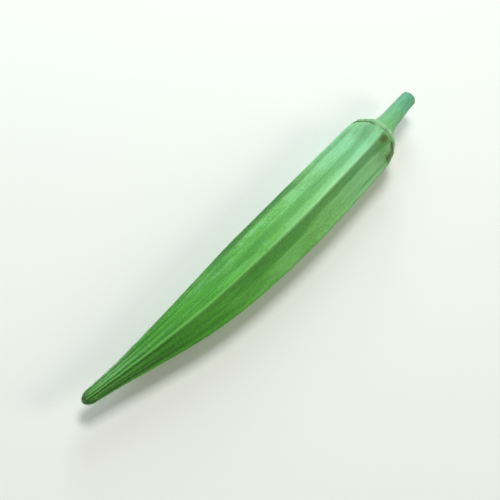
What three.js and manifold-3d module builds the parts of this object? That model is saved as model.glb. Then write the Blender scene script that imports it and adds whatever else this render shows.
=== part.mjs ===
// An okra pod, as picked: a green seed capsule with five main ridges, which tapers to a blunt tip,
// and the stub of its stem, which flares into the cap that carries the capsule. The two meet at the
// dark scar ring that the dropped calyx leaves. Sizes are in millimetres, angles in degrees.
// The pod lies along +X, tip at the low end, on the two ridges of its underside.

import * as THREE from "three";
import { mergeVertices } from "three/addons/utils/BufferGeometryUtils.js";
import Module from "manifold-3d";

// Driving dimensions of the capsule
const POD_LENGTH = 125;
const POD_RADIUS = 8.77;
const TIP_RADIUS = 1.95;
const TIP_LENGTH = 2.4;
const SHOULDER_LENGTH = 4.5;
const SHOULDER_DROP = 0.85;
// Where the five ridges stand, turned from the top towards -Y
const RIDGE_ANGLES = [2, 80, 147, 213, 283];
// Share of the length, and share of the radius reached there, from behind the tip to the shoulder
const BODY_OUTLINE = [
  [0.056, 0.266], [0.123, 0.374], [0.216, 0.555], [0.314, 0.736], [0.416, 0.873],
  [0.528, 0.963], [0.656, 1.0], [0.776, 0.996], [0.88, 0.975], [0.964, 0.962],
];

// Relief, as shares of the radius: a cord along each ridge, and a finer rib along each face's middle
const CORD_HEIGHT = 0.04;
const CORD_HEIGHT_AT_RING = 0.015;
const CORD_WIDTH = 4.3;
const TIP_RIB_HEIGHT = 0.1;
const TIP_RIB_WIDTH = 8;
const RIBBED_LENGTH = 56;
// How flat the faces are: 0 is round, 1 is flat and more is hollow
const FLATNESS_AT_TIP = 0.35;
const FLATNESS_OF_BODY = 1.08;
const FLATNESS_AT_RING = 0.4;
const TAPER_LENGTH = 60;
const SHOULDER_REACH = 8;

// Driving dimensions of the stem
const STEM_LENGTH = 22;
const STEM_END_RADIUS = 2.4;
const SCAR_GAP = 0.3;
const CUT_EDGE = 0.5;
const CUT_EDGE_CORNER = 0.15;
const PITH_RADIUS = 0.7;
const PITH_FLOOR_RADIUS = 0.56;
const PITH_DEPTH = 0.6;
const CAP_FLATNESS = 0.4;
const CAP_ROUND_FROM = 7;
// Radius, and distance past the scar ring, from the cap's rim down to the stem
const CAP_OUTLINE = [
  [7.3, 0.3], [7.7, 0.8], [7.55, 1.7], [6.4, 2.9], [4.9, 4.2], [3.8, 6],
  [3.15, 8.4], [2.8, 11.5], [2.6, 15.5],
];

// The bow: how far the middle line strays to +Y, at even steps from one step before the tip
const BOW_STEP = 21;
const BOW = [1.9, 0.1, -1.8, -3.1, -3.12, -2.66, -1.66, -0.4, 1.55, 2.6];
// The scar ring isn't quite flat: it leans, and dips towards the tip at each ridge
const RING_LEAN = 0.3;
const RING_WAVE = 0.3;
const RING_REACH = 22;
// How much of the lowest ridges is flattened, where the pod lies on them
const REST_DEPTH = 0.3;

// Fineness of the two solids
const AROUND_POD = 60;
const AROUND_STEM = 40;
const TIP_STEPS = 6;
const BODY_STEPS = 34;
const SHOULDER_STEPS = 5;
const CAP_STEPS = 24;

const wasm = await Module();
wasm.setup();
const { degToRad, lerp, smoothstep } = THREE.MathUtils;

const bow = new THREE.SplineCurve(BOW.map((y, i) => new THREE.Vector2((i - 1) * BOW_STEP, y)));

// The section's shape: its radius as a share of the ridges' radius. turn runs from 0 to 5 over the
// five faces, and the flatness, cord and rib say how strong each form is.
function sectionShare(turn, flatness, cord, cordWidth, rib) {
  const face = Math.floor(turn) % RIDGE_ANGLES.length;
  const across = turn - Math.floor(turn);
  const halfFace = (faceEnd(face) - RIDGE_ANGLES[face]) / 2;
  const fromMiddle = (across - 0.5) * 2 * halfFace;
  const fromRidge = halfFace - Math.abs(fromMiddle);
  const chord = Math.cos(degToRad(halfFace)) / Math.cos(degToRad(fromMiddle));
  const base = (1 - cord) * (1 - flatness * (1 - chord));
  return base + cord * bump(fromRidge, cordWidth) + rib * bump(fromMiddle, TIP_RIB_WIDTH);
}

function bump(distance, width) {
  return Math.exp(-((distance / width) ** 2));
}

function faceEnd(face) {
  return face + 1 < RIDGE_ANGLES.length ? RIDGE_ANGLES[face + 1] : RIDGE_ANGLES[0] + 360;
}

// Crowds the steps round the section towards the ridges and the middles of the faces
function crowd(turn) {
  return turn - (0.5 * Math.sin(4 * Math.PI * turn)) / (4 * Math.PI);
}

function angleAt(turn) {
  const face = Math.floor(turn) % RIDGE_ANGLES.length;
  return degToRad(lerp(RIDGE_ANGLES[face], faceEnd(face), turn - Math.floor(turn)));
}

// A point at a distance along the bowed middle line, out from it by a radius at an angle from the top
function pointOnPod(along, radius, angle) {
  const share = (along / BOW_STEP + 1) / (BOW.length - 1);
  const middle = bow.getPoint(share);
  const heading = bow.getTangent(share);
  const aside = radius * Math.sin(angle);
  return [middle.x + aside * heading.y, middle.y - aside * heading.x, radius * Math.cos(angle)];
}

// How far the scar ring strays along the pod at an angle; it dies out on the body and at the axis
function ringShift(angle, along, radius) {
  const stray = RING_LEAN * Math.sin(angle + 1) - RING_WAVE * Math.cos(5 * angle);
  const nearness = 1 - smoothstep(Math.abs(along - POD_LENGTH), 0, RING_REACH);
  return stray * nearness * (radius / POD_RADIUS);
}

// Turns a straight round lathe form into the ridged, bowed one
function sculpt(lathe, formShare) {
  const position = lathe.attributes.position;
  for (let i = 0; i < position.count; i += 1) {
    const along = position.getY(i);
    const roundRadius = Math.hypot(position.getX(i), position.getZ(i));
    const lap = Math.atan2(position.getX(i), position.getZ(i)) / (2 * Math.PI);
    const turn = crowd(((lap + 1) % 1) * RIDGE_ANGLES.length);
    const angle = angleAt(turn);
    const radius = roundRadius * formShare(turn, along);
    position.setXYZ(i, ...pointOnPod(along + ringShift(angle, along, roundRadius), radius, angle));
  }
  return lathe;
}

function podShare(turn, along) {
  const body = smoothstep(along, 0, TAPER_LENGTH);
  const shoulder = smoothstep(along, POD_LENGTH - SHOULDER_REACH, POD_LENGTH);
  const flatness = lerp(lerp(FLATNESS_AT_TIP, FLATNESS_OF_BODY, body), FLATNESS_AT_RING, shoulder);
  const cord = lerp(lerp(TIP_RIB_HEIGHT, CORD_HEIGHT, body), CORD_HEIGHT_AT_RING, shoulder);
  const cordWidth = lerp(TIP_RIB_WIDTH, CORD_WIDTH, body);
  const rib = TIP_RIB_HEIGHT * (1 - smoothstep(along, 0, RIBBED_LENGTH));
  return sectionShare(turn, flatness, cord, cordWidth, rib);
}

function stemShare(turn, along) {
  const corners = 1 - smoothstep(along - POD_LENGTH, 0, CAP_ROUND_FROM);
  return sectionShare(turn, CAP_FLATNESS * corners, CORD_HEIGHT_AT_RING * corners, CORD_WIDTH, 0);
}

function podOutline() {
  const tip = new THREE.EllipseCurve(0, TIP_LENGTH, TIP_RADIUS, TIP_LENGTH, -Math.PI / 2, 0);
  const body = new THREE.SplineCurve([
    new THREE.Vector2(TIP_RADIUS, TIP_LENGTH),
    ...BODY_OUTLINE.map(([along, out]) => new THREE.Vector2(out * POD_RADIUS, along * POD_LENGTH)),
  ]);
  const shoulderStart = body.getPoint(1);
  const shoulder = new THREE.EllipseCurve(
    shoulderStart.x - SHOULDER_DROP, shoulderStart.y, SHOULDER_DROP, SHOULDER_LENGTH, 0, Math.PI / 2);
  return [
    new THREE.Vector2(0, 0),
    ...tip.getPoints(TIP_STEPS).slice(1, -1),
    ...body.getPoints(BODY_STEPS).slice(0, -1),
    ...shoulder.getPoints(SHOULDER_STEPS),
    new THREE.Vector2(0, POD_LENGTH),
  ];
}

function stemOutline() {
  const end = POD_LENGTH + STEM_LENGTH;
  const cap = new THREE.SplineCurve([
    ...CAP_OUTLINE.map(([radius, past]) => new THREE.Vector2(radius, POD_LENGTH + past)),
    new THREE.Vector2(STEM_END_RADIUS, end - CUT_EDGE),
  ]);
  return [
    new THREE.Vector2(0, POD_LENGTH + SCAR_GAP),
    ...cap.getPoints(CAP_STEPS),
    new THREE.Vector2(STEM_END_RADIUS - CUT_EDGE_CORNER, end - CUT_EDGE_CORNER),
    new THREE.Vector2(STEM_END_RADIUS - CUT_EDGE, end),
    new THREE.Vector2(PITH_RADIUS, end),
    new THREE.Vector2(PITH_FLOOR_RADIUS, end - PITH_DEPTH),
    new THREE.Vector2(0, end - PITH_DEPTH),
  ];
}

function solidOf(geometry) {
  geometry.deleteAttribute("normal");
  geometry.deleteAttribute("uv");
  const merged = mergeVertices(geometry, 1e-3);
  const vertProperties = new Float32Array(merged.attributes.position.array);
  const triVerts = new Uint32Array(merged.index.array);
  return new wasm.Manifold(new wasm.Mesh({ numProp: 3, vertProperties, triVerts }));
}

function geometryOf(solid) {
  const mesh = solid.getMesh();
  const geometry = new THREE.BufferGeometry();
  geometry.setAttribute("position", new THREE.BufferAttribute(mesh.vertProperties, 3));
  geometry.setIndex(new THREE.BufferAttribute(mesh.triVerts, 1));
  return geometry;
}

// Cuts the lowest ridges level, so that the pod lies on two narrow flats and doesn't roll
function flattenUnderside(geometry) {
  geometry.computeBoundingBox();
  const { min, max } = geometry.boundingBox;
  const depth = POD_RADIUS;
  const slab = new THREE.BoxGeometry(2 * (max.x - min.x), 2 * (max.y - min.y), depth);
  slab.translate((min.x + max.x) / 2, (min.y + max.y) / 2, min.z + REST_DEPTH - depth / 2);
  return geometryOf(solidOf(geometry).subtract(solidOf(slab)));
}

function makePod() {
  const capsule = sculpt(new THREE.LatheGeometry(podOutline(), AROUND_POD), podShare);
  const skin = new THREE.MeshStandardMaterial({ color: "#58994a", roughness: 0.55, metalness: 0 });
  const pod = new THREE.Mesh(flattenUnderside(capsule), skin);
  pod.name = "pod";
  return pod;
}

function makeStem() {
  const stub = sculpt(new THREE.LatheGeometry(stemOutline(), AROUND_STEM), stemShare);
  const skin = new THREE.MeshStandardMaterial({ color: "#6aa872", roughness: 0.6, metalness: 0 });
  const stem = new THREE.Mesh(geometryOf(solidOf(stub)), skin);
  stem.name = "stem";
  return stem;
}

const okra = new THREE.Group();
okra.add(makePod(), makeStem());

// The origin is on the surface that the pod lies on, under the middle of its box
const box = new THREE.Box3().setFromObject(okra);
const middle = box.getCenter(new THREE.Vector3());
okra.position.set(-middle.x, -middle.y, -box.min.z);

export default okra;
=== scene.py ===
# %% [markdown]
# # An okra pod on a table
# This lesson dresses a plain model of an okra pod until it looks freshly picked. The plain model comes
# packed, at its real size, in metres. It is the fixed frame of the work: nothing here moves or resizes
# it, and every piece made below lies exactly where it lies.

# %% Load the plain model
import math
import random

import bmesh
import bpy
from mathutils import Matrix, Vector, noise


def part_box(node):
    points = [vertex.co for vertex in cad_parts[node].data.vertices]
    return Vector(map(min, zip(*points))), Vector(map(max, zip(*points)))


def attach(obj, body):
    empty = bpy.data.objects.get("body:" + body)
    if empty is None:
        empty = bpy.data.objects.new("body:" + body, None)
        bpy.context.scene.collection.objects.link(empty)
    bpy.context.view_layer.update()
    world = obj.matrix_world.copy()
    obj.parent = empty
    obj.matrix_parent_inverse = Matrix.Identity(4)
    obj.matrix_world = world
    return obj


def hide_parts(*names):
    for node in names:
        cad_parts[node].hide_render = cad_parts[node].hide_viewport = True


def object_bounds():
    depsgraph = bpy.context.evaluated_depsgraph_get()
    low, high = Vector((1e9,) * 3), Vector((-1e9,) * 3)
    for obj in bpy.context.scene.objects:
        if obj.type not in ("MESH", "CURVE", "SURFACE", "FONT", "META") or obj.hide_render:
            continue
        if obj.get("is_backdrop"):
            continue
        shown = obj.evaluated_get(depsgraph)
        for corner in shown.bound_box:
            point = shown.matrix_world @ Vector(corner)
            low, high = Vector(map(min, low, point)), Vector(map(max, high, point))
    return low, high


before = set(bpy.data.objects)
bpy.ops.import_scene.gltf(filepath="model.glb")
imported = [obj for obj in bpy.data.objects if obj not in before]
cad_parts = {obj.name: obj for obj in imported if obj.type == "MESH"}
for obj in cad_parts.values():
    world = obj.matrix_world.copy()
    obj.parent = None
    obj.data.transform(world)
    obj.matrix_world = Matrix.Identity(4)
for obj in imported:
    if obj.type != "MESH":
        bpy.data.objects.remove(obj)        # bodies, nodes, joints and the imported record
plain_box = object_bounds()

print("plain pieces:", sorted(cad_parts))

# %% [markdown]
# ## The measures of the pod
# A pod of this kind is known by its length, its girth and its five ridges. They could be read off the
# plain model, but its faces are coarse. So the same few numbers that shaped it are repeated here, in
# millimetres, and the finer skin has the same form. The outline gives the girth along the pod as
# shares of the largest, and the bow gives how far the middle line strays to one side.

# %% Measures of the capsule
MM = 0.001
POD_LENGTH = 125
POD_RADIUS = 8.77
TIP_RADIUS = 1.95
TIP_LENGTH = 2.4
SHOULDER_LENGTH = 4.5
SHOULDER_DROP = 0.85
BODY_OUTLINE = [
    (0.056, 0.266), (0.123, 0.374), (0.216, 0.555), (0.314, 0.736), (0.416, 0.873),
    (0.528, 0.963), (0.656, 1.0), (0.776, 0.996), (0.88, 0.975), (0.964, 0.962),
]
# The bow is given at even steps, from one step before the tip
BOW_STEP = 21
BOW = [1.9, 0.1, -1.8, -3.1, -3.12, -2.66, -1.66, -0.4, 1.55, 2.6]
print("capsule, mm:", POD_LENGTH, "long,", 2 * POD_RADIUS, "across its ridges")

# %% [markdown]
# The ridges carry a cord, the faces between them are nearly flat, and towards the tip a rib rises
# along each face's middle. The scar ring at the stem end leans a little, and dips towards the tip at
# each ridge.

# %% Measures of the ribs and the ring
RIDGE_ANGLES = [2, 80, 147, 213, 283]
FACE_ENDS = RIDGE_ANGLES[1:] + [RIDGE_ANGLES[0] + 360]
CORD_HEIGHT, CORD_HEIGHT_AT_RING, CORD_WIDTH = 0.04, 0.015, 4.3
TIP_RIB_HEIGHT, TIP_RIB_WIDTH = 0.1, 8
RIBBED_LENGTH = 56
FLATNESS_AT_TIP, FLATNESS_OF_BODY, FLATNESS_AT_RING = 0.35, 1.08, 0.4
TAPER_LENGTH = 60
SHOULDER_REACH = 8
# The turn of the lean is in radians, from the top
RING_LEAN, RING_LEAN_TURN, RING_WAVE, RING_REACH = 0.3, 1, 0.3, 22
print("face widths, degrees:", [end - start for start, end in zip(RIDGE_ANGLES, FACE_ENDS)])

# %% [markdown]
# ## Small tools: a smooth curve and soft steps
# A pod has no sudden changes, so every measure fades into the next. Blender's own curve objects could
# carry the outline and the bow, but here a value is wanted at any place along them, and a function
# gives that directly. A Catmull-Rom spline runs smoothly through a list of values or points, and a
# soft step fades one form into the next.

# %% Curve and blending helpers


def spline(points, share):
    """The place at a share of the way along a smooth curve through the points."""
    spot = min(max(share, 0), 1) * (len(points) - 1)
    i = min(int(spot), len(points) - 2)
    t = spot - i
    before, here = points[max(i - 1, 0)], points[i]
    there, after = points[i + 1], points[min(i + 2, len(points) - 1)]
    leaving, arriving = (there - before) / 2, (after - here) / 2
    cubic = 2 * (here - there) + leaving + arriving
    square = 3 * (there - here) - 2 * leaving - arriving
    return ((cubic * t + square) * t + leaving) * t + here


def soft_step(value, low, high):
    """0 below low, 1 above high, and a smooth rise between."""
    t = min(max((value - low) / (high - low), 0), 1)
    return t * t * (3 - 2 * t)


def mix(a, b, share):
    """The value at a share of the way from a to b."""
    return a + (b - a) * share


def bump(distance, width):
    """A soft hump: 1 at no distance, about a third at its width, and soon 0."""
    return math.exp(-(distance / width) ** 2)


print("bow halfway, mm:", round(spline(BOW, 0.5), 2), "and a soft step a quarter up:", soft_step(0.25, 0, 1))

# %% [markdown]
# ## The section of the pod
# Cut across, okra is a pentagon with soft corners. It could be drawn once and lofted, but it changes
# all the way from the round tip to the flat-sided body. So a formula gives it: for an angle round the
# pod, `face_at` says how far it is from the nearest ridge and from the middle of its face, and
# `section_share` turns that into a radius, as a share of the radius at the ridges.

# %% Section helpers


def face_at(angle):
    """Degrees from the nearest ridge, signed degrees from the face's middle, and half the face."""
    for start, end in zip(RIDGE_ANGLES, FACE_ENDS):
        past = (angle - start) % 360
        if past <= end - start:
            half = (end - start) / 2
            return min(past, 2 * half - past), past - half, half
    raise ValueError(f"no face at {angle}")


def section_share(angle, flatness, cord, cord_width, rib):
    """The radius at an angle as a share of the ridges' radius."""
    to_ridge, to_middle, half = face_at(angle)
    chord = math.cos(math.radians(half)) / math.cos(math.radians(to_middle))
    base = (1 - cord) * (1 - flatness * (1 - chord))
    return base + cord * bump(to_ridge, cord_width) + rib * bump(to_middle, TIP_RIB_WIDTH)


def pod_share(angle, along):
    """The capsule's section at a distance from the tip."""
    body = soft_step(along, 0, TAPER_LENGTH)
    shoulder = soft_step(along, POD_LENGTH - SHOULDER_REACH, POD_LENGTH)
    flatness = mix(mix(FLATNESS_AT_TIP, FLATNESS_OF_BODY, body), FLATNESS_AT_RING, shoulder)
    cord = mix(mix(TIP_RIB_HEIGHT, CORD_HEIGHT, body), CORD_HEIGHT_AT_RING, shoulder)
    cord_width = mix(TIP_RIB_WIDTH, CORD_WIDTH, body)
    rib = TIP_RIB_HEIGHT * (1 - soft_step(along, 0, RIBBED_LENGTH))
    return section_share(angle, flatness, cord, cord_width, rib)


face_middle = (RIDGE_ANGLES[0] + FACE_ENDS[0]) / 2
print("radius at a face's middle:", round(pod_share(face_middle, POD_LENGTH / 2), 3), "of the ridge's")

# %% [markdown]
# ## From a straight form to the bowed one
# A pod bows as it grows. A curve modifier or a lattice could bend it, but the formula that bent the
# plain model bends the finer one in just the same way. Every piece starts straight, along the X axis,
# and is round. `place` gives the bowed position for a distance along the pod, a radius, and an angle
# that is counted from the top. `ring_shift` moves the scar ring a little to and fro, and `sculpt`
# applies both to a whole bmesh.

# %% Bending helpers
SLOPE_STEP = 0.001


def place(along, radius, angle):
    """The point at a radius and an angle round the bowed middle line."""
    share = (along / BOW_STEP + 1) / (len(BOW) - 1)
    rise = spline(BOW, share + SLOPE_STEP) - spline(BOW, share - SLOPE_STEP)
    run = 2 * SLOPE_STEP * BOW_STEP * (len(BOW) - 1)
    heading = Vector((1, rise / run)).normalized()
    aside = radius * math.sin(math.radians(angle))
    up = radius * math.cos(math.radians(angle))
    return Vector((along + aside * heading.y, spline(BOW, share) - aside * heading.x, up))


def ring_shift(angle, along, radius):
    """How far the scar ring strays along the pod; it dies out on the body and at the axis."""
    turn = math.radians(angle)
    lean = RING_LEAN * math.sin(turn + RING_LEAN_TURN)
    stray = lean - RING_WAVE * math.cos(len(RIDGE_ANGLES) * turn)
    nearness = 1 - soft_step(abs(along - POD_LENGTH), 0, RING_REACH)
    return stray * nearness * radius / POD_RADIUS


def sculpt(bm, share_at):
    """Gives a straight round form its section and bow, and notes where each vertex lies on the pod."""
    along_layer = bm.verts.layers.float.new("along")
    angle_layer = bm.verts.layers.float.new("angle")
    radius_layer = bm.verts.layers.float.new("radius")
    for v in bm.verts:
        along, radius = v.co.x, math.hypot(v.co.y, v.co.z)
        angle = math.degrees(math.atan2(-v.co.y, v.co.z)) % 360
        v[along_layer], v[angle_layer], v[radius_layer] = along, angle, radius
        v.co = place(along + ring_shift(angle, along, radius), radius * share_at(angle, along), angle)


print("middle line at the tip and at the ring, mm:", [round(place(x, 0, 0).y, 2) for x in (0, POD_LENGTH)])

# %% [markdown]
# ## Turning the outline
# The raw form is turned, as on a lathe: one edge is cut into many, its points move onto the outline,
# and `bmesh.ops.spin` turns it all the way round. A cylinder could be scaled ring by ring instead, but
# spinning keeps the rows of faces straight along the pod, which the fine ribs need, and lets them
# crowd together at the tip. Where the outline starts on the axis the turned copies fall together, so
# they are merged into one pole, and an end that stays open is filled. A trial barrel shows that the
# form comes out closed.

# %% Turning helper
POLE_MERGE = 1e-5


def open_edges(bm):
    """The edges that only one face uses. A closed form has none."""
    return [edge for edge in bm.edges if edge.is_boundary]


def turn_outline(outline, rows, around):
    """A closed round form along X whose outline is a function from a share to (along, radius)."""
    bm = bmesh.new()
    ends = [bm.verts.new((share, 0, 0)) for share in (0, 1)]
    edge = bm.edges.new(ends)
    bmesh.ops.subdivide_edges(bm, edges=[edge], cuts=rows - 1)
    for v in bm.verts:
        along, radius = outline(v.co.x)
        v.co = Vector((along, 0, radius))
    bmesh.ops.spin(bm, geom=bm.verts[:] + bm.edges[:], cent=(0, 0, 0), axis=(1, 0, 0),
                   angle=math.tau, steps=around, use_merge=True)
    bmesh.ops.remove_doubles(bm, verts=bm.verts, dist=POLE_MERGE)
    filled = bmesh.ops.holes_fill(bm, edges=open_edges(bm), sides=0)["faces"]
    bmesh.ops.poke(bm, faces=filled)
    bmesh.ops.recalc_face_normals(bm, faces=bm.faces)
    return bm


barrel = turn_outline(lambda share: (POD_LENGTH * share, POD_RADIUS), rows=4, around=12)
print("trial barrel:", len(barrel.faces), "faces, open edges:", len(open_edges(barrel)))
barrel.free()

# %% [markdown]
# ## The capsule, first as plain as the model
# The seed capsule is the pod itself. Its outline has three stretches: a quarter ellipse round the
# blunt tip, the spline of the body, and a quarter ellipse over the shoulder. Each stretch gets a share
# of the rows of faces, so that the tip is fine enough. The plain model's own mesh could be subdivided
# instead, but its loose triangles wouldn't come out in rows. The form is set against the plain model's
# box: the difference is the one shift that every later piece needs too.

# %% The capsule's outline
TIP_SHARE, SHOULDER_SHARE = 0.03, 0.965
BODY_POINTS = [Vector((TIP_LENGTH, TIP_RADIUS))]
BODY_POINTS += [Vector((along * POD_LENGTH, out * POD_RADIUS)) for along, out in BODY_OUTLINE]


def pod_outline(share):
    """Distance from the tip and radius, at a share of the outline."""
    if share < TIP_SHARE:
        turn = share / TIP_SHARE * math.pi / 2
        return TIP_LENGTH * (1 - math.cos(turn)), TIP_RADIUS * math.sin(turn)
    if share < SHOULDER_SHARE:
        return spline(BODY_POINTS, (share - TIP_SHARE) / (SHOULDER_SHARE - TIP_SHARE))
    turn = (share - SHOULDER_SHARE) / (1 - SHOULDER_SHARE) * math.pi / 2
    start = BODY_POINTS[-1]
    return start.x + SHOULDER_LENGTH * math.sin(turn), start.y - SHOULDER_DROP * (1 - math.cos(turn))


print("halfway up the outline, mm:", [round(c, 2) for c in pod_outline(0.5)])

# %% Turn and sculpt it
POD_ROWS, POD_AROUND = 400, 220
capsule = turn_outline(pod_outline, POD_ROWS, POD_AROUND)
sculpt(capsule, pod_share)
least, most = [[pick(v.co[axis] for v in capsule.verts) for axis in range(3)] for pick in (min, max)]
pod_low, pod_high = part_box("pod")
shift = Vector((
    pod_low.x / MM - least[0],
    (pod_low.y + pod_high.y) / 2 / MM - (least[1] + most[1]) / 2,
    pod_high.z / MM - most[2],
))
print("faces:", len(capsule.faces), "shift onto the plain model, mm:", [round(c, 3) for c in shift])

# %% [markdown]
# ## Finer forms of the skin
# Okra's skin isn't smooth. The faces are hollow between sharp ridges, long strands run from stem to
# tip, the seeds inside press faint swellings into the faces, and the tip is gathered into fine ribs.
# Brushes could press these in by hand, and a bump in the material could fake them, but a formula is
# the same on every run and changes the real outline. All the forms are a fraction of a millimetre, so
# each vertex moves along its own normal by a sum of them. Each has a height, a number that says how
# finely it changes round the pod, and the length that it is drawn out over.

# %% Sizes of the wide forms, in millimetres and degrees
RELIEF_START, BODY_START = 3, 10
FOLD_DEPTH, FOLD_PLACE, FOLD_SOFTNESS, FOLD_POWER = 0.5, 0.4, 0.12, 6
# The foot is the share of the way up to a ridge over which the fold levels out
FOOT_OF_BODY, FOOT_AT_RING, FOOT_FROM, FOOT_TO = 0.55, 0.2, 70, 115
CREST_HEIGHT, CREST_WIDTH, CREST_AT_TIP = 0.14, 3.4, 0.4
STRAND_HEIGHT, STRANDS_ROUND, STRAND_LENGTH = 0.035, 9, 26
SWELL_HEIGHT, SWELLS_ROUND, SWELL_LENGTH = 0.09, 2.2, 7
WRINKLE_HEIGHT, WRINKLES_ROUND, WRINKLE_LENGTH, WRINKLE_REACH = 0.09, 10, 5, 8
print("deepest hollow:", FOLD_DEPTH, "mm, highest crest:", CREST_HEIGHT, "mm")

# %% [markdown]
# The noise under these forms takes its place from the straightened pod, so it is drawn out along the
# bowed pod and has no seam round it. It is the same on every run, because it depends on the place
# alone. The offset of each form gives it a noise of its own.

# %% Helpers for the wide forms


def grain(angle, along, round_count, length, offset=0.0):
    """Noise on the straightened pod, drawn out along it, from -1 to 1."""
    turn = math.radians(angle)
    return noise.noise(Vector((
        round_count * math.cos(turn), round_count * math.sin(turn) + offset, along / length)))


def body_share(along):
    """0 at the tip and 1 where the pod has its full section."""
    return soft_step(along, BODY_START, TAPER_LENGTH)


def ring_share(along):
    """0 on the body, rising to 1 at the scar ring."""
    return soft_step(along, POD_LENGTH - WRINKLE_REACH, POD_LENGTH)


def across_face(to_middle, half):
    """0 at the ridge where a face starts, 1 at the ridge where it ends."""
    return (to_middle / half + 1) / 2


def fold(across, foot):
    """A face's hollow: 1 along its fold and 0 at both ridges, which it leaves gently over the foot."""
    side = across / FOLD_PLACE if across < FOLD_PLACE else (1 - across) / (1 - FOLD_PLACE)
    return (side - FOLD_SOFTNESS * side ** FOLD_POWER) / (1 - FOLD_SOFTNESS) * soft_step(side, 0, foot)


print("the fold across a face:", [round(fold(step / 5, FOOT_OF_BODY), 2) for step in range(6)])

# %% [markdown]
# At the tip the skin is drawn together like cloth on a string: three ribs on each face, round on top
# and with a sharp valley between two. The cosine's absolute value has just that form. The ribs end at
# uneven places, and small beads roughen them.

# %% Ribs and beads of the tip
FINE_RIB_HEIGHT, RIBS_A_FACE = 0.24, 3
FINE_RIBS_START, FINE_RIBS_FADE, FINE_RIBS_END = 2, 12, 50
RIB_END_STRAY, RIB_ENDS_ROUND = 12, 5
LUMP_SHARE, LUMPS_ROUND, LUMP_LENGTH = 0.8, 4, 1.3
BEAD_HEIGHT, BEADS_ROUND, BEAD_LENGTH, BEADED_LENGTH = 0.12, 7, 0.9, 45


def fine_rib(along, angle):
    """The ribs gathered at the tip: 1 on a rib, 0 in the valley between two, and 1 on the body."""
    to_middle, half = face_at(angle)[1:]
    rounded = abs(math.cos(math.pi * RIBS_A_FACE * across_face(to_middle, half)))
    reach = FINE_RIBS_END + RIB_END_STRAY * grain(angle, 0, RIB_ENDS_ROUND, 1, offset=4)
    fade = soft_step(along, 0, FINE_RIBS_START) * (1 - soft_step(along, FINE_RIBS_FADE, reach))
    return 1 - fade * (1 - rounded)


def tip_relief(along, angle):
    """The valleys and the beads of the tip, in millimetres."""
    lumps = 1 + LUMP_SHARE * grain(angle, along, LUMPS_ROUND, LUMP_LENGTH, offset=9)
    valleys = FINE_RIB_HEIGHT * (1 - fine_rib(along, angle)) * lumps
    beads = BEAD_HEIGHT * grain(angle, along, BEADS_ROUND, BEAD_LENGTH, offset=15)
    return valleys, beads * (1 - soft_step(along, BEADED_LENGTH / 3, BEADED_LENGTH))


half_rib = (FACE_ENDS[0] - RIDGE_ANGLES[0]) / RIBS_A_FACE / 2
print("ridge, valley and rib:", [round(fine_rib(10, RIDGE_ANGLES[0] + i * half_rib), 2) for i in range(3)])

# %% [markdown]
# Single lines run along the faces, most of them shallow grooves at the foot of a ridge and some of them low
# ribs. They are given one by one, so they are a list, and a formula makes each one wander and fade. Brown
# stains mark the shoulder beside the scar, and are a list in the same way.

# %% Single lines and stains
# Height above the face (a groove is below it), then angle, width, start and end
LINES = [
    (-0.12, 289, 2.0, 22, 124), (0.06, 318, 2.2, 84, 120), (0.08, 57, 2.4, 42, 88),
    (-0.11, 73, 2.0, 96, 125), (-0.10, 87, 2.0, 30, 122), (0.05, 128, 2.2, 50, 116),
    (-0.08, 154, 2.0, 36, 120), (-0.09, 206, 2.0, 44, 124), (0.05, 240, 2.4, 60, 110),
    (-0.11, 277, 2.0, 28, 120),
]
LINE_REACH, LINE_FADE_IN, LINE_FADE_OUT, LINE_NOISE_ROUND = 3, 12, 8, 3
LINE_WANDER, WANDER_LENGTH = 2.5, 15
LINE_STRENGTH, LINE_CHANGE, CHANGE_LENGTH = 0.7, 0.6, 9
# Angle, place along, width in degrees and length
STAINS = [
    (14, 123.2, 13, 2.3), (66, 123.0, 14, 2.1), (45, 124.4, 14, 0.6), (284, 124.2, 7, 0.6),
    (150, 123.5, 9, 1.2),
]


def turned_from(angle, centre):
    """Signed degrees from one angle to another, the short way round."""
    return (angle - centre + 180) % 360 - 180


def line_share(along, angle, centre, width, start, end):
    """How strong a single line is at a point, from 0 to about 1."""
    away = turned_from(angle, centre)
    if abs(away) > LINE_REACH * width:
        return 0
    wander = LINE_WANDER * grain(centre, along, LINE_NOISE_ROUND, WANDER_LENGTH, offset=6)
    strength = LINE_STRENGTH + LINE_CHANGE * grain(centre, along, LINE_NOISE_ROUND, CHANGE_LENGTH, offset=12)
    ends = soft_step(along, start, start + LINE_FADE_IN) * (1 - soft_step(along, end - LINE_FADE_OUT, end))
    return bump(away - wander, width) * strength * ends


def stain_share(along, angle, centre, spot, width, length):
    """How strong a single stain is at a point."""
    return bump(turned_from(angle, centre), width) * bump(along - spot, length)


print("lines:", len(LINES), "of them grooves:", sum(height < 0 for height, *course in LINES))

# %% [markdown]
# All the forms add up to one height for each point. Towards the tip the fold and the swellings fade
# out and the crests grow lower, and at the scar ring the fold and the crests are gone. The pole of the
# tip stays as it was turned, because the sum sets in over the first millimetres.

# %% Relief of one point


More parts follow.
